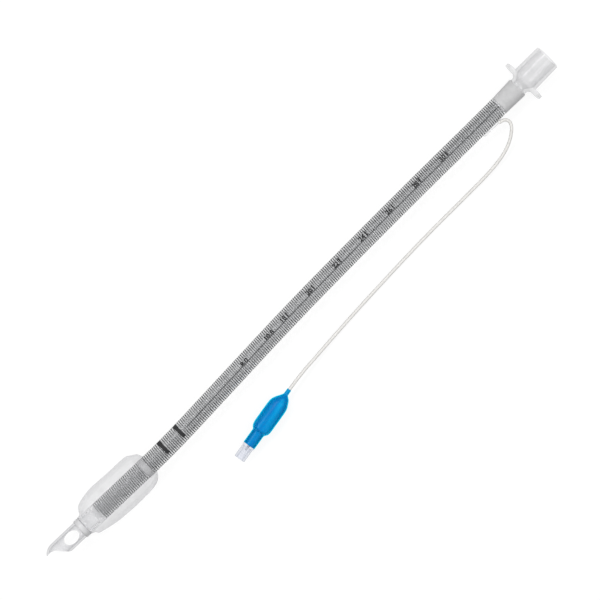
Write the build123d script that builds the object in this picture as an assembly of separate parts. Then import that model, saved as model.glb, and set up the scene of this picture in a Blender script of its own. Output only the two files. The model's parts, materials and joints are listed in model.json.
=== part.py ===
from build123d import *
import os
from math import asin, ceil, cos, degrees, pi, radians, sin, tan

# A wire-reinforced endotracheal tube lying on a table, in millimetres.
# The tube runs from its tip, towards -X, to its connector, whose axis is parallel to +X. +Z is up.
# Depths along the tube are counted from the tip, as on the real one's scale.

# Fits
bond_gap = 0.04              # glue line between two bonded round faces
running_gap = 0.35           # room round the check valve's moving pieces

# Shaft
bore = 8.0
shaft_outer = 10.8
shaft_start = 23.3           # depth of the bond between tip and shaft
flare_start = 340.0          # depth where the wire ends and the wall opens for the connector's stem
shaft_end = 352.2
flare_outer = 11.6
flare_bore = 8.8
shaft_end_rounding = 0.5

# Lie of the tube on the table, in stretches from the tip
lay_lengths = (67.6, 37.2, 53.0, 47.2, 105.0, 30.0, 60.0)
lay_turns = (0.0, 3.8, 0.0, -1.5, -1.35, 0.9, 0.0)   # degrees to the left over each stretch
tip_heading = -1.85

# Inflation channel in the wall, on the -Y side outside the wire
channel_bore = 0.5
channel_skin = 0.12          # wall left outside the channel
cuff_port_depth = 48.0
cuff_port_bore = 0.9

# Wire coil in the wall
coil_start = 36.3
coil_end = 338.0
coil_pitch = 1.2
wire_thickness = 0.4
coil_inner_skin = 0.12       # wall left inside the wire
coil_steps = 6               # straight runs in each turn
coil_sides = 3

# Moulded tip
tip_outer = 10.2
tip_nose_radius = 2.2        # height of the hook's end above the axis
tip_nose_start = 6.0         # depth where the wall starts to curve in
tip_hook_wall = 1.0
bevel_top = (5.6, 0.8)       # depth and height of the bevel's upper end, under the hook
bevel_knee = (10.0, -4.1)
bevel_heel = (12.2, -5.6)
hook_hollow = (3.2, 1.9)     # deepest point of the hollow under the hook
eye_depth = 16.2
eye_length = 9.7
eye_width = 6.5

# Cuff
cuff_start = 25.2
cuff_end = 73.2
cuff_wall = 0.35
cuff_collar = 3.6            # bonded length at each end
cuff_collar_radius = 6.4
cuff_end_radius = 7.4
cuff_swell = (31.5, 9.8)     # depth and radius on the distal shoulder
cuff_crown = (44.0, 11.65)
cuff_brow = (64.5, 11.4)
cuff_fall = (70.6, 9.3)
cuff_lean = 0.7              # the cuff bulges further on the +Y side

# Print on the shaft
ink = 0.05
band_depths = (84.6, 96.7)
band_width = 2.1
band_arc = (-31.0, 75.0)     # degrees from the top, positive towards +Y
tick_numbers = range(18, 31, 2)
tick_spacing = 10.0          # depth for each unit of the printed numbers
tick_offset = 0.7
tick_width = 0.8
tick_arc = (2.5, 36.0)
stripe_start = 101.0
stripe_turn = -1.0           # degrees from the top, clear of the ticks
stripe_width = 0.5

# Machine connector, a 15 mm cone
cone_large = 15.4
cone_taper = 1 / 40          # loss of diameter for each millimetre of length
cone_length = 17.2
cone_rounding = 0.5
cone_bore = 12.2
connector_passage = 6.6
stem_inset = 0.6             # from the start of the flare to the stem's tip
neck_diameter = 10.6
neck_length = 2.1
shoulder_length = 1.7
flange_thickness = 2.0
flange_span = 25.4
flange_corner = 1.5

# Inflation line and the seat that it is bonded into
line_diameter = 1.8
line_seat_setback = 6.4      # from the seat's mouth to the start of the flare
line_seat_height = 6.4       # from the tube's axis to the line's axis at the mouth
line_seat_length = 11.0
line_seat_wall = 0.5
line_insertion = 1.5
line_lead_out = 2.4          # straight stretch out of the seat
line_lead_in = 9.0           # straight stretch before the balloon's neck

# Pilot balloon and its valve, in a frame of their own along the balloon's axis
balloon_neck_end = (153.3, -27.1)   # where the line enters the balloon
balloon_heading = 188.95
balloon_height = 5.0         # of the balloon's axis above the table
balloon_diameter = 10.8
balloon_wall = 0.35
neck_outer = 2.6
neck_reach = 3.0
balloon_shoulder = 4.2
body_end = 24.4              # where the body starts to fall to the sleeve
balloon_end = 27.6
sleeve_outer = 7.1
sleeve_end = 36.6
valve_end = 45.4

# Check valve
port_outer = 6.3
port_mouth = 4.27            # luer bore at its mouth
port_taper = 0.06            # loss of diameter for each millimetre of depth
port_cone_length = 5.5
port_relief = 4.6            # wider pocket behind the cone
port_rim = 6.8
port_rim_length = 1.0
port_edge_rounding = 0.3
housing_start = 28.2
seat_depth = 8.7             # from the mouth to the face that the seal closes on
seat_web = 1.2
seat_hole = 1.9
chamber_bore = 4.7
seal_thickness = 0.8
seal_outer = 3.7
head_thickness = 0.9
head_diameter = 3.4
stem_reach = 3.2             # stem past the seat face, into the port
tail_length = 1.0
tail_diameter = 1.1
valve_travel = 1.2
cage_thickness = 1.2
cage_inset = 0.2
cage_vents = 4
cage_vent_bore = 0.8
cage_vent_circle = 3.1
spring_wire = 0.26
spring_diameter = 2.2        # at the middle of the wire
spring_turns = 4.5
spring_steps = 10
spring_sides = 5

# Values that follow from the sizes above
axis_height = cone_large / 2          # the tube lies on its flange and its cuff
line_seat_depth = flare_start - line_seat_setback
channel_radius = shaft_outer / 2 - channel_skin - channel_bore / 2
seat_slope = degrees(asin((line_seat_height - channel_radius) / line_seat_length))
flange_start = shaft_end + neck_length + shoulder_length
cone_end = flange_start + flange_thickness + cone_length


def station(depth):
    """Position and heading of the tube's axis at a depth from the tip."""
    x, y, heading = 0.0, 0.0, tip_heading
    left = depth
    for length, turn in zip(lay_lengths, lay_turns):
        run = min(left, length)
        part = turn * run / length
        chord = run if turn == 0 else 2 * length / radians(turn) * sin(radians(part) / 2)
        x += chord * cos(radians(heading + part / 2))
        y += chord * sin(radians(heading + part / 2))
        heading += part
        left -= run
    return x, y, heading


def place(depth):
    """Frame on the tube's axis: local +X runs on towards the connector."""
    x, y, heading = station(depth)
    return Location((x, y, axis_height), (0, 0, heading))


def at(depth, across=0.0, up=0.0):
    """Point beside the tube's axis."""
    return (place(depth) * Location((0, across, up))).position


def tube_path(first, last):
    """The axis between two depths, as straight stretches and arcs."""
    marks = [0.0]
    for length in lay_lengths:
        marks.append(marks[-1] + length)
    edges = []
    for turn, low, high in zip(lay_turns, marks, marks[1:]):
        low, high = max(low, first), min(high, last)
        if high <= low:
            continue
        if turn == 0:
            edges.append(Edge.make_line(at(low), at(high)))
        else:
            edges.append(Edge.make_three_point_arc(at(low), at((low + high) / 2), at(high)))
    return Wire(edges)


def section_plane(depth):
    """Plane across the tube: its x is the tube's +Y side and its y is up."""
    frame = place(depth)
    across = (frame * Location((0, 1, 0))).position - frame.position
    along = (frame * Location((1, 0, 0))).position - frame.position
    return Plane(origin=frame.position, x_dir=across, z_dir=along)


def turned(*edges):
    """Solid turned about local X from the edges of half its section."""
    return revolve(make_face(Wire(list(edges))), Axis.X)


def turned_points(*points):
    """Solid turned about local X from the corners of half its section."""
    return revolve(make_face(Polyline(*points, close=True)), Axis.X)


def half_space_box(low_z):
    """Large block above a level, for flattening what lies on the table."""
    size = 4 * flange_span
    return Pos(0, 0, low_z) * Box(size, size, size, align=(Align.CENTER, Align.CENTER, Align.MIN))


def mitred_wire(points, thickness, sides):
    """Round wire with flat sides along straight runs: each section halves the corner it lies in."""
    points = [Vector(*p) for p in points]
    runs = [(b - a).normalized() for a, b in zip(points, points[1:])]
    side = runs[0].cross(Vector(0, 0, 1)).normalized()
    if side.length == 0:
        side = Vector(0, 1, 0)
    up = runs[0].cross(side)
    turns = [2 * pi * k / sides for k in range(sides)]
    ring = [points[0] + side * (cos(a) * thickness / 2) + up * (sin(a) * thickness / 2) for a in turns]
    faces = [Face(Wire.make_polygon(list(reversed(ring)), close=True))]
    for i, run in enumerate(runs):
        halving = run if i + 1 == len(runs) else (run + runs[i + 1]).normalized()
        moved = [v + run * ((points[i + 1] - v).dot(halving) / run.dot(halving)) for v in ring]
        for k in range(sides):
            n = (k + 1) % sides
            faces.append(Face(Wire.make_polygon([ring[k], ring[n], moved[n], moved[k]], close=True)))
        ring = moved
    faces.append(Face(Wire.make_polygon(ring, close=True)))
    return Solid(Shell(faces))


def seat_frame():
    """Frame at the mouth of the line's seat: local +X is the way the line leaves."""
    return place(line_seat_depth) * Location((0, -line_seat_height, 0), (0, 0, -seat_slope))


def tube_shaft():
    """Extruded wall with its bore and inflation channel, the flared end and the line's seat."""
    section = Circle(shaft_outer / 2) - Circle(bore / 2) - Pos(-channel_radius, 0) * Circle(channel_bore / 2)
    wall = sweep(section_plane(shaft_start) * section, tube_path(shaft_start, flare_start))
    flare_length = shaft_end - flare_start
    flare = turned_points(
        (0, bore / 2),
        (0, shaft_outer / 2),
        (flare_length - shaft_end_rounding, flare_outer / 2),
        (flare_length, flare_outer / 2 - shaft_end_rounding),
        (flare_length, flare_bore / 2),
    )
    seat_radius = line_diameter / 2 + bond_gap + line_seat_wall
    horn = turned_points(
        (-line_seat_length, 0),
        (-line_seat_length, channel_bore),
        (-line_insertion, seat_radius),
        (0, seat_radius),
        (0, 0),
    )
    socket = turned_points(
        (-line_seat_length, 0),
        (-line_seat_length, channel_bore / 2),
        (-line_insertion, channel_bore / 2),
        (-line_insertion, line_diameter / 2 + bond_gap),
        (0, line_diameter / 2 + bond_gap),
        (0, 0),
    )
    port = Pos(0, -channel_radius, 0) * Rot(90, 0, 0) * Cylinder(
        cuff_port_bore / 2, shaft_outer, align=(Align.CENTER, Align.CENTER, Align.MIN)
    )
    shaft = wall + place(flare_start) * flare + seat_frame() * horn
    return shaft - seat_frame() * socket - place(cuff_port_depth) * port


def reinforcing_coil():
    """One wire wound through the wall, a flat of each turn facing the inflation channel."""
    turns = (coil_end - coil_start) / coil_pitch
    corner_radius = (bore / 2 + coil_inner_skin + wire_thickness / 2) / cos(pi / coil_steps)
    points = []
    for step in range(ceil(turns * coil_steps)):
        angle = 2 * pi * (step + 0.5) / coil_steps
        depth = coil_start + coil_pitch * step / coil_steps
        points.append(at(depth, -corner_radius * cos(angle), corner_radius * sin(angle)))
    return mitred_wire(points, wire_thickness, coil_sides)


def soft_tip():
    """Moulded tip: an inward hook over a bevelled mouth, with an eye above and below."""
    outer, inner = tip_outer / 2, bore / 2
    inner_nose = (tip_hook_wall, tip_nose_radius - tip_hook_wall / 2)
    shell = turned(
        Edge.make_line((shaft_start, inner), (shaft_start, outer)),
        Edge.make_line((shaft_start, outer), (tip_nose_start, outer)),
        Edge.make_tangent_arc((tip_nose_start, outer), (-1, 0), (0, tip_nose_radius)),
        Edge.make_line((0, tip_nose_radius), inner_nose),
        Edge.make_tangent_arc((tip_nose_start, inner), (-1, 0), inner_nose),
        Edge.make_line((tip_nose_start, inner), (shaft_start, inner)),
    )
    below = -tip_outer
    mouth = make_face(Wire([
        Edge.make_line((-outer, below), (-outer, tip_nose_radius - tip_hook_wall / 2)),
        Edge.make_line((-outer, tip_nose_radius - tip_hook_wall / 2), (0, tip_nose_radius - tip_hook_wall / 2)),
        Edge.make_three_point_arc((0, tip_nose_radius - tip_hook_wall / 2), hook_hollow, bevel_top),
        Edge.make_line(bevel_top, bevel_knee),
        Edge.make_line(bevel_knee, bevel_heel),
        Edge.make_line(bevel_heel, (bevel_heel[0], below)),
        Edge.make_line((bevel_heel[0], below), (-outer, below)),
    ]))
    eye = Pos(eye_depth, 0) * Ellipse(eye_length / 2, eye_width / 2)
    shell = shell - extrude(mouth, tip_outer, both=True) - extrude(eye, tip_outer, both=True)
    return place(0) * shell


def cuff():
    """Thin sleeve bonded at both ends, open to the shaft between, flat where it lies."""
    lean = Pos(0, cuff_lean, 0)
    middle = (cuff_start + cuff_end) / 2
    outer = turned(
        Edge.make_line((cuff_start, 0), (cuff_start, cuff_collar_radius)),
        Edge.make_three_point_arc((cuff_start, cuff_collar_radius), cuff_swell, cuff_crown),
        Edge.make_line(cuff_crown, cuff_brow),
        Edge.make_three_point_arc(cuff_brow, cuff_fall, (cuff_end, cuff_end_radius)),
        Edge.make_line((cuff_end, cuff_end_radius), (cuff_end, 0)),
        Edge.make_line((cuff_end, 0), (cuff_start, 0)),
    )
    inside = turned(
        Edge.make_line((cuff_start + cuff_collar, 0), (cuff_start + cuff_collar, cuff_swell[1] - 4 * cuff_wall)),
        Edge.make_line(
            (cuff_start + cuff_collar, cuff_swell[1] - 4 * cuff_wall), (cuff_crown[0], cuff_crown[1] - cuff_wall)
        ),
        Edge.make_line((cuff_crown[0], cuff_crown[1] - cuff_wall), (cuff_brow[0], cuff_brow[1] - cuff_wall)),
        Edge.make_line((cuff_brow[0], cuff_brow[1] - cuff_wall), (cuff_end - cuff_collar, cuff_fall[1] - cuff_wall)),
        Edge.make_line((cuff_end - cuff_collar, cuff_fall[1] - cuff_wall), (cuff_end - cuff_collar, 0)),
        Edge.make_line((cuff_end - cuff_collar, 0), (cuff_start + cuff_collar, 0)),
    )
    skin = lean * outer & Pos(middle, 0, 0) * half_space_box(-axis_height)
    hollow = lean * inside & Pos(middle, 0, 0) * half_space_box(cuff_wall - axis_height)
    passage = Pos(middle, 0, 0) * Rot(0, 90, 0) * Cylinder(shaft_outer / 2 + bond_gap, 2 * (cuff_end - cuff_start))
    return place(0) * (skin - hollow - passage)


def ink_patch(depth, width, arc):
    """Curved patch of ink on the shaft, between two angles from the top towards +Y."""
    low, high = arc
    inner, outer = shaft_outer / 2 + bond_gap / 2, shaft_outer / 2 + bond_gap / 2 + ink
    corners = {}
    for name, radius in (("in", inner), ("out", outer)):
        for place_name, angle in (("low", low), ("mid", (low + high) / 2), ("high", high)):
            corners[name, place_name] = (radius * sin(radians(angle)), radius * cos(radians(angle)))
    outline = Wire([
        Edge.make_three_point_arc(corners["in", "low"], corners["in", "mid"], corners["in", "high"]),
        Edge.make_line(corners["in", "high"], corners["out", "high"]),
        Edge.make_three_point_arc(corners["out", "high"], corners["out", "mid"], corners["out", "low"]),
        Edge.make_line(corners["out", "low"], corners["in", "low"]),
    ])
    return sweep(section_plane(depth - width / 2) * make_face(outline), tube_path(depth - width / 2, depth + width / 2))


def depth_bands():
    """Two broad bars past the cuff."""
    return Compound([ink_patch(depth, band_width, band_arc) for depth in band_depths])


def depth_ticks():
    """Short tick beside each printed depth number."""
    return Compound([
        ink_patch(number * tick_spacing + tick_offset, tick_width, tick_arc) for number in tick_numbers
    ])


def radiopaque_stripe():
    """Thin dark stripe along the top of the shaft, from past the bands to the end of the wire."""
    half_angle = degrees(stripe_width / shaft_outer)
    arc = (stripe_turn - half_angle, stripe_turn + half_angle)
    return ink_patch((stripe_start + coil_end) / 2, coil_end - stripe_start, arc)


def machine_connector():
    """Stem, stop collar, shoulder, eared flange and 15 mm cone in one moulding."""
    flare_length = shaft_end - flare_start
    stem_length = flare_length - stem_inset
    growth = (flare_bore - bore) / 2 / flare_length
    stem_tip = bore / 2 + growth * stem_inset - bond_gap
    stem_root = flare_bore / 2 - bond_gap
    neck = neck_diameter / 2
    shoulder_end = neck_length + shoulder_length
    flange_end = shoulder_end + flange_thickness
    end = flange_end + cone_length
    large, small = cone_large / 2, cone_large / 2 - cone_taper * cone_length / 2
    passage = connector_passage / 2
    body = turned_points(
        (-stem_length, passage),
        (-stem_length, stem_tip),
        (0, stem_root),
        (0, neck),
        (neck_length, neck),
        (shoulder_end, large - cone_rounding),
        (shoulder_end, large),
        (flange_end, large),
        (end - cone_rounding, small),
        (end, small - cone_rounding),
        (end, cone_bore / 2),
        (flange_end, cone_bore / 2),
        (neck_length, passage),
    )
    disc = Circle(flange_span / 2) & Rectangle(flange_span, cone_large)
    disc = fillet(disc.vertices(), flange_corner)
    flange = Pos(shoulder_end, 0, 0) * extrude(Plane.YZ * disc, flange_thickness)
    hollow = Pos(shoulder_end - flange_thickness, 0, 0) * Rot(0, 90, 0) * Cylinder(
        large - 2 * cone_rounding, 3 * flange_thickness, align=(Align.CENTER, Align.CENTER, Align.MIN)
    )
    return place(shaft_end) * (body + (flange - hollow))


def valve_place():
    """Frame of the balloon and valve: local +X runs from the line's end to the syringe port."""
    x, y = balloon_neck_end
    return Location((x, y, balloon_height), (0, 0, balloon_heading))


def pilot_balloon():
    """Soft balloon with a neck for the line and a sleeve for the valve."""
    big, sleeve = balloon_diameter / 2, sleeve_outer / 2
    shoulder_top = neck_reach + balloon_shoulder
    skin = turned(
        Edge.make_line((0, 0), (0, neck_outer / 2)),
        Edge.make_line((0, neck_outer / 2), (neck_reach, neck_outer / 2)),
        Edge.make_tangent_arc((shoulder_top, big), (-1, 0), (neck_reach, neck_outer / 2)),
        Edge.make_line((shoulder_top, big), (body_end, big)),
        Edge.make_tangent_arc((body_end, big), (1, 0), (balloon_end, sleeve)),
        Edge.make_line((balloon_end, sleeve), (sleeve_end, sleeve)),
        Edge.make_line((sleeve_end, sleeve), (sleeve_end, 0)),
        Edge.make_line((sleeve_end, 0), (0, 0)),
    )
    inner_neck = neck_outer / 2 + balloon_wall
    hollow = turned(
        Edge.make_line((neck_reach + 2 * balloon_wall, 0), (neck_reach + 2 * balloon_wall, inner_neck)),
        Edge.make_tangent_arc(
            (shoulder_top, big - balloon_wall), (-1, 0), (neck_reach + 2 * balloon_wall, inner_neck)
        ),
        Edge.make_line((shoulder_top, big - balloon_wall), (body_end, big - balloon_wall)),
        Edge.make_line((body_end, big - balloon_wall), (balloon_end - balloon_wall, port_outer / 2)),
        Edge.make_line((balloon_end - balloon_wall, port_outer / 2), (balloon_end - balloon_wall, 0)),
        Edge.make_line((balloon_end - balloon_wall, 0), (neck_reach + 2 * balloon_wall, 0)),
    )
    sleeve_bore = Pos(balloon_end - 2 * balloon_wall, 0, 0) * Rot(0, 90, 0) * Cylinder(
        housing_radius() + bond_gap, sleeve_end, align=(Align.CENTER, Align.CENTER, Align.MIN)
    )
    line_bore = Rot(0, 90, 0) * Cylinder(
        line_diameter / 2 + bond_gap, neck_reach + balloon_shoulder, align=(Align.CENTER, Align.CENTER, Align.MIN)
    )
    middle = Pos(balloon_end / 2, 0, 0)
    skin = skin & middle * half_space_box(-balloon_height)
    hollow = hollow & middle * half_space_box(balloon_wall - balloon_height)
    return valve_place() * (skin - hollow - sleeve_bore - line_bore)


def housing_radius():
    """Outside of the valve housing in the balloon's sleeve."""
    return sleeve_outer / 2 - balloon_wall - bond_gap


def seat_face():
    """Place of the seat's face along the valve's axis."""
    return valve_end - seat_depth


def valve_housing():
    """Clear housing: syringe port, seat web and the chamber of the check valve."""
    housed = housing_radius()
    face = seat_face()
    cone_root = valve_end - port_cone_length
    root_radius = (port_mouth - port_taper * port_cone_length) / 2
    body = turned_points(
        (housing_start, chamber_bore / 2),
        (housing_start, housed),
        (sleeve_end, housed),
        (sleeve_end, port_rim / 2),
        (sleeve_end + port_rim_length, port_rim / 2),
        (sleeve_end + port_rim_length, port_outer / 2),
        (valve_end - port_edge_rounding, port_outer / 2),
        (valve_end, port_outer / 2 - port_edge_rounding),
        (valve_end, port_mouth / 2),
        (cone_root, root_radius),
        (cone_root, port_relief / 2),
        (face + seat_web, port_relief / 2),
        (face + seat_web, seat_hole / 2),
        (face, seat_hole / 2),
        (face, chamber_bore / 2),
    )
    return valve_place() * body


def stem_diameter():
    """Plunger's stem, free in the seat's hole."""
    return seat_hole - 2 * running_gap


def valve_seal():
    """Soft washer on the plunger's head, closed against the seat."""
    face = seat_face()
    washer = turned_points(
        (face - seal_thickness, stem_diameter() / 2 + bond_gap),
        (face - seal_thickness, seal_outer / 2),
        (face, seal_outer / 2),
        (face, stem_diameter() / 2 + bond_gap),
    )
    return valve_place() * washer


def tail_end():
    """Place of the plunger's tail end along the valve's axis, with the valve shut."""
    return seat_face() - seal_thickness - head_thickness - tail_length


def valve_plunger():
    """Stem, head and tail that a syringe's tip pushes in."""
    back = seat_face() - seal_thickness
    stem = stem_diameter() / 2
    body = turned_points(
        (tail_end(), 0),
        (tail_end(), tail_diameter / 2),
        (back - head_thickness, tail_diameter / 2),
        (back - head_thickness, head_diameter / 2),
        (back, head_diameter / 2),
        (back, stem),
        (seat_face() + stem_reach, stem),
        (seat_face() + stem_reach, 0),
    )
    return valve_place() * body


def cage_face():
    """Face of the cage that the spring stands on."""
    return housing_start + cage_inset + cage_thickness


def valve_cage():
    """Vented disc with a post, pressed into the chamber's open end."""
    low = housing_start + cage_inset
    post = (spring_diameter - spring_wire) / 2 - running_gap
    post_end = tail_end() - valve_travel - running_gap
    body = turned_points(
        (low, 0),
        (low, chamber_bore / 2 - bond_gap),
        (cage_face(), chamber_bore / 2 - bond_gap),
        (cage_face(), post),
        (post_end, post),
        (post_end, 0),
    )
    for k in range(cage_vents):
        angle = 2 * pi * k / cage_vents
        body -= Pos(low + cage_thickness / 2, cage_vent_circle / 2 * cos(angle), cage_vent_circle / 2 * sin(angle)) * (
            Rot(0, 90, 0) * Cylinder(cage_vent_bore / 2, 2 * cage_thickness)
        )
    return valve_place() * body


def valve_spring():
    """Compression spring between the cage and the plunger's head."""
    low = cage_face() + spring_wire / 2
    high = seat_face() - seal_thickness - head_thickness - spring_wire / 2
    count = ceil(spring_turns * spring_steps)
    points = []
    for step in range(count + 1):
        angle = 2 * pi * step / spring_steps
        along = low + (high - low) * step / count
        points.append((along, spring_diameter / 2 * cos(angle), spring_diameter / 2 * sin(angle)))
    return valve_place() * mitred_wire(points, spring_wire, spring_sides)


def line_route():
    """Corners of the inflation line's path, from its seat in the shaft to the balloon's neck."""
    seat, balloon = seat_frame(), valve_place()
    leaving = (seat * Location((-line_insertion, 0, 0))).position
    first_corner = (seat * Location((line_lead_out, 0, 0))).position
    lying = (
        (336.9, -11.2, 7.2),
        (331.4, -16.2, 5.6),
        (323.5, -19.7, 3.6),
        (311.6, -21.3, 1.9),
        (293.0, -21.4, 1.05),
        (262.5, -21.1, 0.92),
        (224.0, -22.2, 0.95),
        (195.0, -23.6, 1.3),
        (176.0, -24.9, 2.9),
    )
    before_neck = (balloon * Location((-line_lead_in, 0, 0))).position
    in_neck = (balloon * Location((neck_reach, 0, 0))).position
    return [leaving, first_corner, *[Vector(*p) for p in lying], before_neck, in_neck]


def line_radii(route):
    """Largest arc that each corner's two runs allow."""
    radii = []
    for before, corner, after in zip(route, route[1:], route[2:]):
        arriving, going = corner - before, after - corner
        half_turn = radians(arriving.get_angle(going)) / 2
        radii.append(0.45 * min(arriving.length, going.length) / tan(half_turn))
    return radii


def inflation_line():
    """Thin hose from the shaft to the pilot balloon, lying on the table."""
    route = line_route()
    path = FilletPolyline(*route, radius=line_radii(route))
    start = Plane(origin=route[0], z_dir=route[1] - route[0])
    return sweep(start * Circle(line_diameter / 2), path)


def to_middle():
    """Move that brings the origin to the table, under the middle of the tube's length and width."""
    ear = at(flange_start, flange_span / 2)
    cuff_side = at(cuff_brow[0], cuff_lean - cuff_brow[1])
    return Pos(-at(cone_end).X / 2, -(ear.Y + cuff_side.Y) / 2, 0)


def write_parts():
    """One file for each piece, and the facts of the free line."""
    makers = (tube_shaft, reinforcing_coil, soft_tip, cuff, depth_bands, depth_ticks, radiopaque_stripe,
              machine_connector, inflation_line, pilot_balloon, valve_housing, valve_cage, valve_spring,
              valve_plunger, valve_seal)
    pieces = {make.__name__: make() for make in makers}
    to_origin = to_middle()
    os.makedirs("parts", exist_ok=True)
    for name, piece in pieces.items():
        export_step(to_origin * piece, f"parts/{name}.step")
    route = line_route()
    line = pieces["inflation_line"]
    print("origin moved by", to_origin.position)
    print("route", [tuple(round(c, 2) for c in to_origin.position + p) for p in route])
    print("line radii", [round(r, 1) for r in line_radii(route)])
    print("line length", round(line.volume / (pi * line_diameter**2 / 4), 2))


write_parts()
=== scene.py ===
import json
from functools import lru_cache
from math import asin, cos, exp, radians, sin, tau

import bmesh
import bpy
import numpy as np
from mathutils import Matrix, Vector

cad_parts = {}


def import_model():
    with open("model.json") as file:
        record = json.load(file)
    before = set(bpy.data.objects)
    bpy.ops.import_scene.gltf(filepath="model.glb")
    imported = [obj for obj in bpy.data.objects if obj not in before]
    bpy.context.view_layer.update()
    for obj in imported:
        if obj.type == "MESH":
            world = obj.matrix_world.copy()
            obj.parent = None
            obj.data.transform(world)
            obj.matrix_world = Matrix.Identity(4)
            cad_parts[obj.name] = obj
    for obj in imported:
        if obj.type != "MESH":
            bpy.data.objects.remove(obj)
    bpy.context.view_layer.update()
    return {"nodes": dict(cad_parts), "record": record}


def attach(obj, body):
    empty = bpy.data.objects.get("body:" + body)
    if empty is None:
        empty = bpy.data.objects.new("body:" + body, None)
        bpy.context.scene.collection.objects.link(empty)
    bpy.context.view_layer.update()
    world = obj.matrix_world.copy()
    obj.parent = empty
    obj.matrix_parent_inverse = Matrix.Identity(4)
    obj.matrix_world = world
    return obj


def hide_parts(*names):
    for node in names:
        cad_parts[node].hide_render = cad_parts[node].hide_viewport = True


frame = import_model()

# A wire-reinforced endotracheal tube seen from above on white. Lengths are in metres, apart from
# the two outlines of the soft pieces and what shapes their folds, which are in mm.
MM = 0.001
table_gap = 0.02 * MM

# The tube's lie on the table, in stretches from its tip
lay_lengths = [MM * length for length in (67.6, 37.2, 53.0, 47.2, 105.0, 30.0, 60.0)]
lay_turns = (0.0, 3.8, 0.0, -1.5, -1.35, 0.9, 0.0)
tip_heading = -1.85
cone_middle_depth = 366.6 * MM

# Shaft
bore_radius = 4.0 * MM
shaft_radius = 5.4 * MM
shaft_start = 23.3 * MM
flare_start = 340.0 * MM
shaft_end = 352.2 * MM
flare_radius = 5.8 * MM
flare_bore_radius = 4.4 * MM
ripple = 0.03 * MM          # how far the wall dips between two turns of the wire
rings_per_turn = 6
wall_sides = 48
flare_step = 1.0 * MM
bore_step = 2.0 * MM
end_overlap = 0.35 * MM     # how far the flared end reaches over the connector's neck
end_round = 0.3 * MM        # rounding of the flared end's outer edge
end_shoulder = (0.1 * MM, 0.08 * MM)    # halfway round it: back from the end, and in from the outside
end_facing = 0.85           # how squarely a face looks along the tube to count as an end

# Raised seat that the inflation line comes out of, on the -Y side
seat_start = 321.4 * MM
seat_mouth = 334.6 * MM
seat_radius = 1.3 * MM
seat_round = 0.5 * MM
seat_step = 0.25 * MM
seat_reach = (5.05 * MM, 5.35 * MM)     # from the tube's axis to the seat's, at its start and mouth

# Cell of the fine meshes of the connector and the tip
moulded_cell = 0.2 * MM

# Wire
wire_start = 36.3 * MM
wire_end = 338.0 * MM
wire_pitch = 1.2 * MM
wire_radius = 0.165 * MM
wire_circle = 4.32 * MM

# Cuff, in mm: depth, and reach from the tube's axis on the +Y and the -Y side
cuff_outline = (
    (25.4, 5.75, 5.75), (27.5, 6.1, 6.6), (28.6, 8.1, 8.0), (31.6, 10.6, 8.8),
    (36.4, 11.75, 10.0), (41.5, 12.25, 10.9), (48.0, 12.3, 11.05), (56.0, 12.1, 11.05),
    (62.0, 12.0, 11.0), (66.2, 11.6, 10.6), (69.6, 9.6, 9.5), (72.0, 8.0, 7.6), (73.2, 5.8, 5.8),
)
cuff_film = 0.12 * MM
slack_from, slack_over = 6.2, 3.5       # reach where the film begins to hang slack, and over how much more
pleat_height, pleat_reach = 0.32, 11.0  # of the gathers at both ends, and how far in they run
pleat_waves = ((13, 0.4, 1.0), (21, 1.3, 0.6))      # waves round the cuff, their turn and share
sag_waves = ((3, 0.22, 0.12), (5, -0.31, 0.08))     # waves round it, their turn for each mm, and height
cuff_least = 5.5        # the least reach of the film, just outside the shaft
tip_bond = (22.5 * MM, 25.6 * MM)       # from and to: the glued collar over the joint of tip and shaft
cuff_bond = (68.4 * MM, 72.2 * MM)      # and the one at the cuff's other end
bond_thickness = 0.1 * MM
bond_gap = 0.02 * MM
bond_step = 0.6 * MM

# Print: height of the numbers and how far their middle is turned from the top towards +Y
number_height = 2.7 * MM
number_weight = 0.14 * MM
number_turn = asin(1.35 * MM / shaft_radius)
number_setback = 3.2 * MM   # from a tick back to the middle of its number
tick_offset = 0.7 * MM
tick_numbers = (18, 20, 22, 24, 26, 28, 30)
size_marks = (("8.0", 146.9 * MM, 0.12), ("10.8", 166.3 * MM, 0.16))
print_thickness = 0.03 * MM
print_cell = 0.5 * MM       # the numbers are cut into strips this wide, to bend round the tube
print_cuts = 4
digit_share = 0.72          # how much of the font's size a digit is tall

# Pilot balloon, in mm: place along its axis from the neck, and reach on its two sides
balloon_origin = (-34.256 * MM, -27.059 * MM, 5.0 * MM)
balloon_heading = radians(188.95)
balloon_outline = (
    (0.0, 1.2, 1.2), (3.0, 1.25, 1.3), (3.8, 1.5, 2.0), (5.0, 2.3, 3.2), (7.0, 3.75, 4.2),
    (8.8, 4.75, 4.95), (10.6, 5.25, 5.3), (13.4, 5.4, 5.4), (18.0, 5.4, 5.4), (23.8, 5.35, 5.4),
    (26.0, 5.0, 5.1), (27.2, 4.4, 4.3), (28.2, 3.6, 3.6), (29.2, 3.55, 3.55), (36.6, 3.55, 3.55),
)
balloon_film = 0.35
balloon_gap = 0.03                      # between its underside and the table
bag_height = 4.9
bag_from, bag_over = 3.6, 1.2           # reach where the neck turns to bag, and over how much more
groove = (0.28, 0.84, 0.05)             # by each rim: depth, place across (1 is the rim) and width
crease = (0.12, 0.08, 0.1)              # along the middle: the same three
wave_height, wave_across, wave_along = 0.1, 4.0, 0.3    # unevenness, and how it turns across and along

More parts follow.
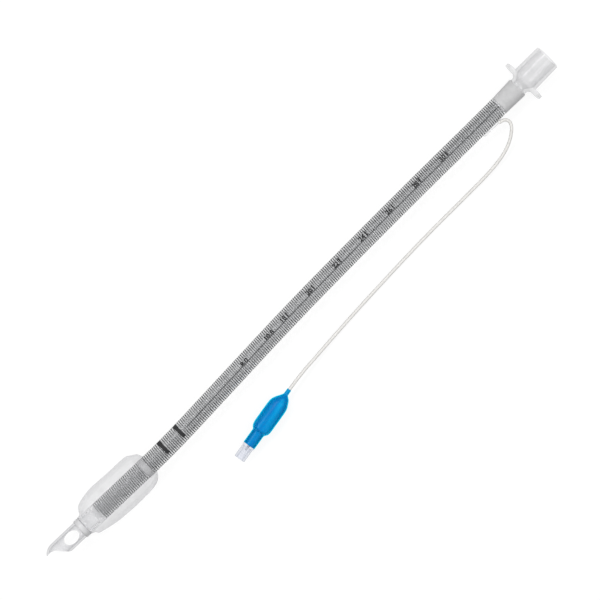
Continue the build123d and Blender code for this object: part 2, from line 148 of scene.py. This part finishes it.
# Inflation line: the route's points in the row frame
line_route = (
    (0.14445, -0.00616, 0.0077),
    (0.14831, -0.00666, 0.0077),
    (0.14934, -0.01116, 0.0072),
    (0.14384, -0.01616, 0.0056),
    (0.13594, -0.01966, 0.0036),
    (0.12404, -0.02126, 0.0019),
    (0.10544, -0.02136, 0.00105),
    (0.07494, -0.02106, 0.00092),
    (0.03644, -0.02216, 0.00095),
    (0.00744, -0.02356, 0.0013),
    (-0.01156, -0.02486, 0.0029),
    (-0.02537, -0.02566, 0.0050),
    (-0.03722, -0.02753, 0.0050),
)
line_diameter = 1.8 * MM

# Camera: straight down, with its up turned so that the tube runs to the upper right
camera_above_axis = 2.5
camera_over = (3.45 * MM, 2.44 * MM)
camera_turn = -45.20
pixels_across = 600
pixels_per_metre = 1885.0

# Stage: the floor's own grey and the glow that makes it white to the eye, and the room's even light
floor_half = 3.0
floor_grey = 0.15
floor_glow = 0.88
room_light = 0.55


@lru_cache(maxsize=None)
def raw_station(depth):
    """Place and heading of the tube's axis at a depth, before the tube is set in the row frame."""
    x, y, heading = 0.0, 0.0, tip_heading
    left = depth
    for length, turn in zip(lay_lengths, lay_turns):
        run = min(left, length)
        part = turn * run / length
        chord = run if turn == 0 else 2 * length / radians(turn) * sin(radians(part) / 2)
        x += chord * cos(radians(heading + part / 2))
        y += chord * sin(radians(heading + part / 2))
        heading += part
        left -= run
    return x, y, heading


cone_mount = next(m for m in frame["record"]["mounts"] if m["name"] == "breathing_circuit_cone")
axis_height = cone_mount["pos_m"][2]
middle = raw_station(cone_middle_depth)
to_row = (cone_mount["pos_m"][0] - middle[0], cone_mount["pos_m"][1] - middle[1])


def around(depth, radius, turn):
    """Point at a distance from the tube's axis, at an angle from the top towards +Y."""
    x, y, heading = raw_station(depth)
    across = radius * sin(turn)
    return (
        x + to_row[0] - across * sin(radians(heading)),
        y + to_row[1] + across * cos(radians(heading)),
        axis_height + radius * cos(turn),
    )


def face_outwards(mesh):
    """Turns a closed mesh's faces outwards and shades them smooth."""
    work = bmesh.new()
    work.from_mesh(mesh)
    bmesh.ops.recalc_face_normals(work, faces=work.faces)
    for face in work.faces:
        face.smooth = True
    work.to_mesh(mesh)
    work.free()


def skin(name, rings, closed_along=False):
    """Mesh over rings of points. It joins last ring to first, or else caps both ends."""
    rings = np.asarray(rings, float)
    count, sides = rings.shape[:2]
    faces = []
    last = count if closed_along else count - 1
    for i in range(last):
        a, b = i * sides, (i + 1) % count * sides
        faces += [(a + k, a + (k + 1) % sides, b + (k + 1) % sides, b + k) for k in range(sides)]
    if not closed_along:
        faces.append(tuple(reversed(range(sides))))
        faces.append(tuple(range((count - 1) * sides, count * sides)))
    mesh = bpy.data.meshes.new(name)
    mesh.from_pydata(rings.reshape(-1, 3).tolist(), [], faces)
    face_outwards(mesh)
    piece = bpy.data.objects.new(name, mesh)
    bpy.context.scene.collection.objects.link(piece)
    return piece


def ringed(profile, sides):
    """Rings about the tube's axis from (depth, radius) pairs."""
    return [[around(depth, radius, tau * k / sides) for k in range(sides)] for depth, radius in profile]


def spaced(first, last, step):
    """Even places from first to last, about a step apart."""
    count = max(1, round((last - first) / step))
    return [first + (last - first) * i / count for i in range(count + 1)]


def finish_piece(piece, body, look, stands_for=()):
    """Gives a piece its materials and body, and hides the nodes it stands for."""
    if piece.data.materials:
        piece.data.materials.clear()    # which also sets every face back to the first material
    for each in look if isinstance(look, tuple) else (look,):
        piece.data.materials.append(each)
    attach(piece, body)
    if stands_for:
        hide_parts(*stands_for)
    return piece


# Materials

def new_look(name):
    """Empty material with its nodes, a Principled shader and the output."""
    look = bpy.data.materials.new(name)
    look.use_nodes = True
    nodes, links = look.node_tree.nodes, look.node_tree.links
    nodes.clear()
    output = nodes.new("ShaderNodeOutputMaterial")
    shader = nodes.new("ShaderNodeBsdfPrincipled")
    links.new(shader.outputs[0], output.inputs["Surface"])
    return look, nodes, links, shader, output


def mottle(nodes, links, scale, low, high, grain=None):
    """Noise in the object's own space, turned to a colour between two. A grain is (heading, stretch)."""
    coords = nodes.new("ShaderNodeTexCoord")
    where = coords.outputs["Object"]
    if grain:
        heading, stretch = grain
        lie = nodes.new("ShaderNodeMapping")
        lie.vector_type = "TEXTURE"
        lie.inputs["Rotation"].default_value = (0, 0, heading)
        lie.inputs["Scale"].default_value = (stretch, 1, 1)
        links.new(where, lie.inputs["Vector"])
        where = lie.outputs["Vector"]
    noise = nodes.new("ShaderNodeTexNoise")
    noise.inputs["Scale"].default_value = scale
    noise.inputs["Detail"].default_value = 3.0
    ramp = nodes.new("ShaderNodeValToRGB")
    ramp.color_ramp.elements[0].color = (*low, 1)
    ramp.color_ramp.elements[1].color = (*high, 1)
    ramp.color_ramp.elements[0].position = 0.35
    ramp.color_ramp.elements[1].position = 0.65
    links.new(where, noise.inputs["Vector"])
    links.new(noise.outputs["Fac"], ramp.inputs["Fac"])
    return noise, ramp.outputs["Color"]


def towards_edge(nodes, links, colour, edge, blend):
    """Colour that turns to another where the surface is seen edge on, and how much. The edge colour is
    painted: a darker one is painted shade along the outlines, a lighter one painted light on the sides.
    """
    facing = nodes.new("ShaderNodeLayerWeight")
    facing.inputs["Blend"].default_value = blend
    mix = nodes.new("ShaderNodeMix")
    mix.data_type = "RGBA"
    links.new(facing.outputs["Facing"], mix.inputs[0])
    links.new(colour, mix.inputs[6])
    mix.inputs[7].default_value = (*edge, 1)
    return mix.outputs[2], facing.outputs["Facing"]


def add_bump(nodes, links, shader, height, strength, distance):
    """Puts bump on a shader from a height socket."""
    bump = nodes.new("ShaderNodeBump")
    bump.inputs["Strength"].default_value = strength
    bump.inputs["Distance"].default_value = distance
    links.new(height, bump.inputs["Height"])
    links.new(bump.outputs["Normal"], shader.inputs["Normal"])


def bending_look(name, low, high, edge, ior, roughness, clear=1.0, blend=0.2, shine=1.0):
    """Thick wall, clear or part milky, that bends what is behind it and lets lamps in. Its colour turns to
    the edge colour where it is seen edge on, painted light and shade at the outlines.
    """
    look, nodes, links, shader, output = new_look(name)
    noise, colour = mottle(nodes, links, 400.0, low, high)
    tint, _ = towards_edge(nodes, links, colour, edge, blend)
    links.new(tint, shader.inputs["Base Color"])
    shader.inputs["Transmission Weight"].default_value = clear
    shader.inputs["IOR"].default_value = ior
    shader.inputs["Specular Tint"].default_value = (shine, shine, shine, 1)
    shader.inputs["Roughness"].default_value = roughness
    add_bump(nodes, links, shader, noise.outputs["Fac"], 0.05, 0.05 * MM)
    path = nodes.new("ShaderNodeLightPath")
    open_way = nodes.new("ShaderNodeBsdfTransparent")
    open_way.inputs["Color"].default_value = (*high, 1)
    mix = nodes.new("ShaderNodeMixShader")
    links.new(path.outputs["Is Shadow Ray"], mix.inputs[0])
    links.new(shader.outputs[0], mix.inputs[1])
    links.new(open_way.outputs[0], mix.inputs[2])
    links.new(mix.outputs[0], output.inputs["Surface"])
    return look


def clear_look(name, low, high, edge, body_low, body_high, share, edge_share, roughness,
               blend=0.25, scale=300.0, bump=0.1, grain=None, shine=0.5):
    """Thin clear wall: the tint of what passes it, and a share of milky body with its gloss. Where it is
    seen edge on, tint and share turn to their edge values, painted light and shade at the outlines.
    """
    look, nodes, links, shader, output = new_look(name)
    noise, colour = mottle(nodes, links, scale, low, high, grain)
    tint, facing = towards_edge(nodes, links, colour, edge, blend)
    _, body_colour = mottle(nodes, links, scale / 2, body_low, body_high, grain)
    links.new(body_colour, shader.inputs["Base Color"])
    shader.inputs["Roughness"].default_value = roughness
    shader.inputs["IOR"].default_value = 1.45
    shader.inputs["Specular IOR Level"].default_value = shine
    add_bump(nodes, links, shader, noise.outputs["Fac"], bump, 0.1 * MM)
    amount = nodes.new("ShaderNodeMapRange")
    amount.inputs["To Min"].default_value = share
    amount.inputs["To Max"].default_value = edge_share
    open_way = nodes.new("ShaderNodeBsdfTransparent")
    mix = nodes.new("ShaderNodeMixShader")
    links.new(facing, amount.inputs["Value"])
    links.new(tint, open_way.inputs["Color"])
    links.new(amount.outputs["Result"], mix.inputs[0])
    links.new(open_way.outputs[0], mix.inputs[1])
    links.new(shader.outputs[0], mix.inputs[2])
    links.new(mix.outputs[0], output.inputs["Surface"])
    return look


def solid_look(name, low, high, roughness, metallic=0.0, edge=None):
    """Opaque surface with a little mottle and grain. An edge colour, where given, is painted shade along
    its outlines.
    """
    look, nodes, links, shader, _ = new_look(name)
    noise, colour = mottle(nodes, links, 900.0, low, high)
    if edge:
        colour, _ = towards_edge(nodes, links, colour, edge, 0.35)
    links.new(colour, shader.inputs["Base Color"])
    shader.inputs["Roughness"].default_value = roughness
    shader.inputs["Metallic"].default_value = metallic
    add_bump(nodes, links, shader, noise.outputs["Fac"], 0.1, 0.05 * MM)
    return look


# Painted light and shade at the outlines: an edge colour darker than a look's own is painted shade, partly
# also the longer way through the wall; a lighter one is painted light on the sides.
tube_look = bending_look(
    "tube_clear", low=(0.74, 0.744, 0.75), high=(0.8, 0.804, 0.81), edge=(0.96, 0.96, 0.965),
    ior=1.42, roughness=0.2, blend=0.3, shine=0.15)
plain_look = bending_look(
    "tube_unwired", low=(0.88, 0.88, 0.885), high=(0.94, 0.94, 0.945), edge=(0.84, 0.84, 0.845),
    ior=1.08, roughness=0.15, clear=0.88)
# The flare's edge colour, lighter than its grey body, is painted light that brightens the sides the lamps
# leave darker.
flare_look = bending_look(
    "tube_flare", low=(0.6, 0.6, 0.605), high=(0.66, 0.66, 0.665), edge=(0.78, 0.78, 0.785),
    ior=1.08, roughness=0.4, clear=0.15, blend=0.3)
end_look = clear_look(
    "wall_ends", low=(0.97, 0.97, 0.972), high=(0.985, 0.985, 0.987), edge=(0.97, 0.97, 0.972),
    body_low=(0.84, 0.84, 0.845), body_high=(0.9, 0.9, 0.905), share=0.15, edge_share=0.2, roughness=0.3)
tip_look = clear_look(
    "tip_clear", low=(0.945, 0.945, 0.95), high=(0.97, 0.97, 0.975), edge=(0.7, 0.7, 0.71),
    body_low=(0.72, 0.72, 0.73), body_high=(0.8, 0.8, 0.81), share=0.07, edge_share=0.25, roughness=0.25)
connector_look = clear_look(
    "connector_clear", low=(0.965, 0.965, 0.967), high=(0.98, 0.98, 0.982), edge=(0.93, 0.93, 0.935),
    body_low=(0.8, 0.8, 0.81), body_high=(0.87, 0.87, 0.88), share=0.27, edge_share=0.32, roughness=0.14,
    shine=1.0)
valve_look = clear_look(
    "valve_clear", low=(0.95, 0.955, 0.98), high=(0.975, 0.98, 0.995), edge=(0.74, 0.76, 0.82),
    body_low=(0.84, 0.86, 0.91), body_high=(0.92, 0.94, 0.97), share=0.15, edge_share=0.35, roughness=0.12)
# The balloon's bright cyan edge colour, with its blue body thinning towards the edge, is painted light: a
# bright rim down both sides, which the lamps leave darker.
balloon_look = clear_look(
    "balloon_blue", low=(0.02, 0.76, 0.95), high=(0.05, 0.84, 0.98), edge=(0.08, 0.9, 1.0),
    body_low=(0.0, 0.2, 0.6), body_high=(0.0, 0.42, 0.84), share=0.8, edge_share=0.08, roughness=0.25,
    blend=0.75, scale=420.0, grain=(balloon_heading, 7.0), shine=0.15)
film_look = clear_look(
    "cuff_film", low=(0.965, 0.965, 0.967), high=(0.982, 0.982, 0.984), edge=(0.94, 0.94, 0.945),
    body_low=(0.84, 0.84, 0.85), body_high=(0.9, 0.9, 0.91), share=0.07, edge_share=0.16, roughness=0.25,
    scale=220.0, bump=0.3)
bond_look = clear_look(
    "cuff_bond", low=(0.965, 0.965, 0.967), high=(0.98, 0.98, 0.982), edge=(0.95, 0.95, 0.955),
    body_low=(0.8, 0.8, 0.81), body_high=(0.88, 0.88, 0.89), share=0.45, edge_share=0.45, roughness=0.35,
    scale=220.0)
collar_look = clear_look(
    "tip_bond", low=(0.965, 0.965, 0.967), high=(0.98, 0.98, 0.982), edge=(0.95, 0.95, 0.955),
    body_low=(0.68, 0.68, 0.69), body_high=(0.78, 0.78, 0.79), share=0.9, edge_share=0.8, roughness=0.35)
# The hose's darker edge colour is painted shade along its sides.
line_look = solid_look("line_milky", (0.76, 0.745, 0.72), (0.86, 0.845, 0.82), 0.35,
                       edge=(0.56, 0.55, 0.53))
wire_look = solid_look("wire_steel", (0.15, 0.152, 0.156), (0.24, 0.243, 0.25), 0.35, metallic=1.0)
spring_look = solid_look("spring_steel", (0.5, 0.51, 0.53), (0.62, 0.63, 0.65), 0.3, metallic=1.0)
ink_look = solid_look("print_black", (0.003, 0.003, 0.004), (0.008, 0.008, 0.01), 0.7)
stripe_look = solid_look("stripe_grey", (0.05, 0.052, 0.056), (0.09, 0.092, 0.096), 0.5)
seal_look = solid_look("seal_rubber", (0.03, 0.03, 0.035), (0.06, 0.06, 0.065), 0.7)
plunger_look = solid_look("plunger_white", (0.68, 0.7, 0.74), (0.78, 0.8, 0.84), 0.35)


def tube_wall():
    """The shaft's wall with its bore and flared end, dipping a little between the wire's turns.

    Its materials are, in order: over the wire, before the wire, past the wire, and the two ends.
    """
    depths = spaced(shaft_start, flare_start, wire_pitch / rings_per_turn)
    rings = []
    for depth in depths:
        ring = []
        near = min(1.0, max(0.0, min(depth - wire_start, wire_end - depth) / wire_pitch))
        for k in range(wall_sides):
            turn = tau * k / wall_sides
            wave = cos(tau * (depth - wire_start) / wire_pitch - turn)
            ring.append(around(depth, shaft_radius - ripple * near * (1 - wave), turn))
        rings.append(ring)
    profile = flared_profile()
    profile += [(depth, bore_radius) for depth in reversed(spaced(shaft_start, flare_start, bore_step))]
    piece = skin("tube_wall", rings + ringed(profile, wall_sides), closed_along=True)
    depths += [depth for depth, _ in profile]
    depths = np.array(depths)
    part = np.where(depths < wire_start - wire_pitch, 1, np.where(depths > wire_end + wire_pitch, 2, 0))
    piece.data.polygons.foreach_set("material_index", np.repeat(part.astype(np.int32), wall_sides))
    mark_ends(piece, 3)
    return piece


def flared_profile():
    """Depths and radii of the shaft's flared end, out along its outside and back along its bore."""
    flare_length = shaft_end - flare_start
    spread = (flare_radius - shaft_radius) / flare_length
    narrowing = (flare_bore_radius - bore_radius) / flare_length
    last = shaft_end + end_overlap
    outside = [(depth, shaft_radius + spread * (depth - flare_start))
               for depth in spaced(flare_start, shaft_end - flare_step / 2, flare_step)[1:]]
    end = [(last - end_round, flare_radius), (last - end_shoulder[0], flare_radius - end_shoulder[1]),
           (last, flare_radius - end_round), (last, flare_bore_radius)]
    inside = [(depth, bore_radius + narrowing * (depth - flare_start))
              for depth in reversed(spaced(flare_start, shaft_end, flare_step)[1:-1])]
    return outside + end + inside


def mark_ends(piece, index):
    """Gives the faces that look along the tube a material of their own."""
    for face in piece.data.polygons:
        if abs(face.normal.x) > end_facing:
            face.material_index = index


def collar(name, reach):
    """A thin glued collar around the shaft."""
    depths = spaced(*reach, bond_step)
    outside = [(depth, shaft_radius + bond_thickness) for depth in depths]
    inside = [(depth, shaft_radius + bond_gap) for depth in reversed(depths)]
    return skin(name, ringed(outside + inside, 64), closed_along=True)


def line_seat():
    """Blunt raised strip on the shaft, which the inflation line is bonded into."""
    sides = 32
    rings = []
    for depth in spaced(seat_start, seat_mouth, seat_step):
        share = (depth - seat_start) / (seat_mouth - seat_start)
        reach = seat_reach[0] + (seat_reach[1] - seat_reach[0]) * share
        inset = max(0.0, 1 - min(depth - seat_start, seat_mouth - depth) / seat_round)
        radius = seat_radius - seat_round * (1 - (1 - inset * inset) ** 0.5)
        x, y, heading = raw_station(depth)
        ring = []
        for k in range(sides):
            turn = tau * k / sides
            across = -reach + radius * sin(turn)
            ring.append((x + to_row[0] - across * sin(radians(heading)),
                         y + to_row[1] + across * cos(radians(heading)),
                         axis_height + radius * cos(turn)))
        rings.append(ring)
    return skin("line_seat", rings)


def printed(name, marks):
    """Plain numbers on the shaft. They read towards the connector, with their tops towards +Y."""
    joined = bmesh.new()
    for words, depth, turn in marks:
        curve = bpy.data.curves.new(name, "FONT")
        curve.body = words
        curve.size = number_height / digit_share
        curve.offset = number_weight
        curve.extrude = print_thickness / 2
        curve.align_x, curve.align_y = "CENTER", "CENTER"
        text = bpy.data.objects.new(name, curve)
        bpy.context.scene.collection.objects.link(text)
        mesh = bpy.data.meshes.new_from_object(text.evaluated_get(bpy.context.evaluated_depsgraph_get()))
        bpy.data.objects.remove(text)
        part = bmesh.new()
        part.from_mesh(mesh)
        for i in range(-print_cuts, print_cuts + 1):
            bmesh.ops.bisect_plane(part, geom=[*part.verts, *part.edges, *part.faces],
                                   plane_co=(0, i * print_cell, 0), plane_no=(0, 1, 0))
        for point in part.verts:
            u, v, w = point.co
            point.co = around(depth + u, shaft_radius + print_thickness + w, turn + v / shaft_radius)
        part.to_mesh(mesh)
        part.free()
        joined.from_mesh(mesh)
        bpy.data.meshes.remove(mesh)
    mesh = bpy.data.meshes.new(name)
    joined.to_mesh(mesh)
    joined.free()
    piece = bpy.data.objects.new(name, mesh)
    bpy.context.scene.collection.objects.link(piece)
    return piece


def wire():
    """The reinforcing wire's helix."""
    per_turn, sides = 40, 8
    turns = (wire_end - wire_start) / wire_pitch
    steps = round(turns * per_turn)
    rings = []
    for i in range(steps + 1):
        depth = wire_start + wire_pitch * i / per_turn
        turn = tau * i / per_turn
        ring = []
        for k in range(sides):
            angle = tau * k / sides
            radius = wire_circle + wire_radius * cos(angle)
            ring.append(around(depth + wire_radius * sin(angle), radius, turn))
        rings.append(ring)
    return skin("wire_helix", rings)


def smoothed_copy(node, name, passes):
    """A finely remeshed copy of a solid, with its edges softened in so many passes."""
    source = frame["nodes"][node]
    piece = bpy.data.objects.new(name, source.data.copy())
    bpy.context.scene.collection.objects.link(piece)
    remesh = piece.modifiers.new("remesh", "REMESH")
    remesh.mode = "VOXEL"
    remesh.voxel_size = moulded_cell
    soften = piece.modifiers.new("soften", "SMOOTH")
    soften.factor = 0.5
    soften.iterations = passes
    graph = bpy.context.evaluated_depsgraph_get()
    piece.data = bpy.data.meshes.new_from_object(piece.evaluated_get(graph))
    piece.modifiers.clear()
    piece.data.polygons.foreach_set("use_smooth", [True] * len(piece.data.polygons))
    piece.data.name = name
    return piece


def smooth_between(x, xs, ys):
    """Smooth value between given points, by a monotone cubic."""
    xs, ys = np.asarray(xs, float), np.asarray(ys, float)
    slopes = np.diff(ys) / np.diff(xs)
    at = np.zeros(len(xs))
    at[1:-1] = np.where(slopes[1:] * slopes[:-1] > 0,
                        2 * slopes[1:] * slopes[:-1] / (slopes[1:] + slopes[:-1] + 1e-12), 0)
    at[0], at[-1] = slopes[0], slopes[-1]
    i = int(np.clip(np.searchsorted(xs, x) - 1, 0, len(xs) - 2))
    h = xs[i + 1] - xs[i]
    t = (x - xs[i]) / h
    return ((1 + 2 * t) * (1 - t) ** 2 * ys[i] + t * (1 - t) ** 2 * h * at[i]
            + t * t * (3 - 2 * t) * ys[i + 1] + t * t * (t - 1) * h * at[i + 1])


def cuff():
    """Thin film bonded to the shaft at both ends, slack and folded between."""
    sides = 144
    depths, plus, minus = zip(*cuff_outline)
    marks = np.linspace(depths[0], depths[-1], 150)
    outside = []
    for mark in marks:
        high, low = smooth_between(mark, depths, plus), smooth_between(mark, depths, minus)
        slack = min(1.0, max(0.0, (min(high, low) - slack_from) / slack_over))
        near_end = min(mark - depths[0], depths[-1] - mark)
        pleat = pleat_height * slack * max(0.0, 1 - near_end / pleat_reach)
        ring = []
        for k in range(sides):
            turn = tau * k / sides
            share = 0.5 + 0.5 * sin(turn)
            radius = high * share + low * (1 - share)
            radius += pleat * sum(part * sin(waves * turn + shift) for waves, shift, part in pleat_waves)
            radius += slack * sum(rise * sin(waves * turn + lean * mark) for waves, lean, rise in sag_waves)
            point = around(mark * MM, max(radius, cuff_least) * MM, turn)
            ring.append((point[0], point[1], max(point[2], table_gap)))
        outside.append(ring)
    outside = np.array(outside)
    middle_line = np.array([around(mark * MM, 0.0, 0.0) for mark in marks])[:, None, :]
    inward = middle_line - outside
    inward /= np.linalg.norm(inward, axis=2, keepdims=True)
    inside = (outside + inward * cuff_film)[::-1]
    return skin("cuff_sleeve", np.concatenate([outside, inside]), closed_along=True)


def dent(side, shape):
    """Depth of a soft dent at a place across the balloon."""
    depth, place, width = shape
    return depth * exp(-((side - place) / width) ** 2)


def pilot_balloon():
    """Soft blue balloon: a flattened bag with a rim down both sides, its neck and its sleeve."""
    sides = 96
    along, left, right = zip(*balloon_outline)
    lowest = balloon_gap - balloon_origin[2] / MM
    outside, inside = [], []
    for mark in np.linspace(along[0], along[-1], 170):
        reach = (smooth_between(mark, along, left), smooth_between(mark, along, right))
        body = min(1.0, max(0.0, (min(reach) - bag_from) / bag_over))
        for rings, film_depth in ((outside, 0.0), (inside, balloon_film)):
            ring = []
            for k in range(sides):
                turn = tau * k / sides
                side = cos(turn)
                share = 0.5 - 0.5 * side
                wide = reach[0] * share + reach[1] * (1 - share) - film_depth
                dip = dent(abs(side), groove) + dent(side, crease)
                dip += wave_height * sin(wave_across * side + wave_along * mark)
                tall = min(wide, bag_height - film_depth) - body * dip
                ring.append((mark, wide * side, max(max(0.0, tall) * sin(turn), film_depth + lowest)))
            rings.append(ring)
    local = np.array(outside + inside[::-1]) * MM
    c, s = cos(balloon_heading), sin(balloon_heading)
    rings = np.stack([
        balloon_origin[0] + local[..., 0] * c - local[..., 1] * s,
        balloon_origin[1] + local[..., 0] * s + local[..., 1] * c,
        balloon_origin[2] + local[..., 2],
    ], axis=-1)
    return skin("balloon_skin", rings, closed_along=True)


def inflation_line():
    """The free hose from its seat in the shaft to the balloon."""
    curve = bpy.data.curves.new("inflation_hose", "CURVE")
    curve.dimensions = "3D"
    curve.bevel_depth = line_diameter / 2
    curve.bevel_resolution = 6
    curve.resolution_u = 16
    curve.use_fill_caps = True
    spline = curve.splines.new("NURBS")
    spline.points.add(len(line_route) - 1)
    for point, place in zip(spline.points, line_route):
        point.co = (*place, 1)
    spline.order_u = 3
    spline.use_endpoint_u = True
    piece = bpy.data.objects.new("inflation_hose", curve)
    bpy.context.scene.collection.objects.link(piece)
    return piece


# Build and place the pieces

wall_looks = (tube_look, plain_look, flare_look, end_look)
finish_piece(tube_wall(), "root", wall_looks, ["tube_shaft"])
finish_piece(line_seat(), "root", plain_look)
finish_piece(wire(), "root", wire_look, ["reinforcing_coil"])
numbers = [(str(n), 10 * n * MM + tick_offset - number_setback, number_turn) for n in tick_numbers]
finish_piece(printed("depth_numbers", numbers), "root", ink_look)
finish_piece(printed("size_numbers", size_marks), "root", ink_look)
connector = smoothed_copy("machine_connector", "connector_moulding", 8)
finish_piece(connector, "root", connector_look, ["machine_connector"])
tip = smoothed_copy("soft_tip", "tip_moulding", 6)
finish_piece(tip, "root", (tip_look, end_look), ["soft_tip"])
mark_ends(tip, 1)
finish_piece(cuff(), "root", film_look, ["cuff"])
finish_piece(collar("tip_collar", tip_bond), "root", collar_look)
finish_piece(collar("cuff_collar", cuff_bond), "root", bond_look)
balloon = finish_piece(pilot_balloon(), "root", balloon_look, ["pilot_balloon"])
hose = finish_piece(inflation_line(), "root", line_look, ["inflation_line"])

node_looks = {
    "depth_bands": ink_look,
    "depth_ticks": ink_look,
    "radiopaque_stripe": stripe_look,
    "valve_housing": valve_look,
    "valve_cage": plunger_look,
    "valve_spring": spring_look,
    "valve_plunger": plunger_look,
    "valve_seal": seal_look,
}
for node, look in node_looks.items():
    frame["nodes"][node].data.materials.clear()
    frame["nodes"][node].data.materials.append(look)


# Stage, lights and camera

def when_seen(nodes, links):
    """One for rays of the camera, of gloss and through clear pieces, and nothing for the rest."""
    path = nodes.new("ShaderNodeLightPath")
    seen = path.outputs["Is Camera Ray"]
    for kind in ("Is Glossy Ray", "Is Transmission Ray"):
        either = nodes.new("ShaderNodeMath")
        either.operation = "MAXIMUM"
        links.new(seen, either.inputs[0])
        links.new(path.outputs[kind], either.inputs[1])
        seen = either.outputs[0]
    return seen


def floor():
    """White floor that keeps a soft shadow."""
    look, nodes, links, shader, output = new_look("floor_white")
    shader.inputs["Base Color"].default_value = (floor_grey, floor_grey, floor_grey, 1)
    shader.inputs["Roughness"].default_value = 1.0
    shader.inputs["Specular IOR Level"].default_value = 0.0
    glow = nodes.new("ShaderNodeEmission")
    strength = nodes.new("ShaderNodeMath")
    strength.operation = "MULTIPLY"
    strength.inputs[1].default_value = floor_glow
    links.new(when_seen(nodes, links), strength.inputs[0])
    links.new(strength.outputs[0], glow.inputs["Strength"])
    both = nodes.new("ShaderNodeAddShader")
    links.new(shader.outputs[0], both.inputs[0])
    links.new(glow.outputs[0], both.inputs[1])
    links.new(both.outputs[0], output.inputs["Surface"])
    corners = [(x * floor_half, y * floor_half, 0) for x, y in ((-1, -1), (1, -1), (1, 1), (-1, 1))]
    mesh = bpy.data.meshes.new("floor")
    mesh.from_pydata(corners, [], [(0, 1, 2, 3)])
    piece = bpy.data.objects.new("floor", mesh)
    piece.location.z = -table_gap
    bpy.context.scene.collection.objects.link(piece)
    mesh.materials.append(look)


def world():
    """Even pale room light, seen as white."""
    room = bpy.data.worlds.new("room")
    bpy.context.scene.world = room
    room.use_nodes = True
    nodes, links = room.node_tree.nodes, room.node_tree.links
    background = nodes["Background"]
    background.inputs["Color"].default_value = (1, 1, 1, 1)
    blend = nodes.new("ShaderNodeMix")
    blend.data_type = "FLOAT"
    blend.inputs[2].default_value = room_light
    blend.inputs[3].default_value = 1.0
    links.new(when_seen(nodes, links), blend.inputs[0])
    links.new(blend.outputs[0], background.inputs["Strength"])


def lamp(name, place, size, watts):
    """Soft oblong lamp that looks at the middle of the part."""
    light = bpy.data.lights.new(name, "AREA")
    light.shape = "RECTANGLE"
    light.size, light.size_y = size
    light.energy = watts
    piece = bpy.data.objects.new(name, light)
    piece.location = place
    piece.rotation_euler = (-Vector(place)).to_track_quat("-Z", "Y").to_euler()
    bpy.context.scene.collection.objects.link(piece)


def camera():
    """Camera straight above, at the photograph's scale."""
    data = bpy.data.cameras.new("camera")
    data.sensor_width = 36.0
    half_width = pixels_across / pixels_per_metre / 2
    data.lens = data.sensor_width / 2 * camera_above_axis / half_width
    data.clip_start = 0.01
    piece = bpy.data.objects.new("camera", data)
    piece.location = (*camera_over, axis_height + camera_above_axis)
    piece.rotation_euler = (0, 0, radians(camera_turn))
    bpy.context.scene.collection.objects.link(piece)
    bpy.context.scene.camera = piece


floor()
world()
lamp("key", place=(0.0, 0.5, 0.775), size=(1.2, 0.16), watts=4.5)
lamp("fill", place=(0.4, -0.5, 0.8), size=(0.6, 0.6), watts=2.2)
camera()
bpy.context.scene.view_settings.view_transform = "Standard"

bpy.context.view_layer.update()
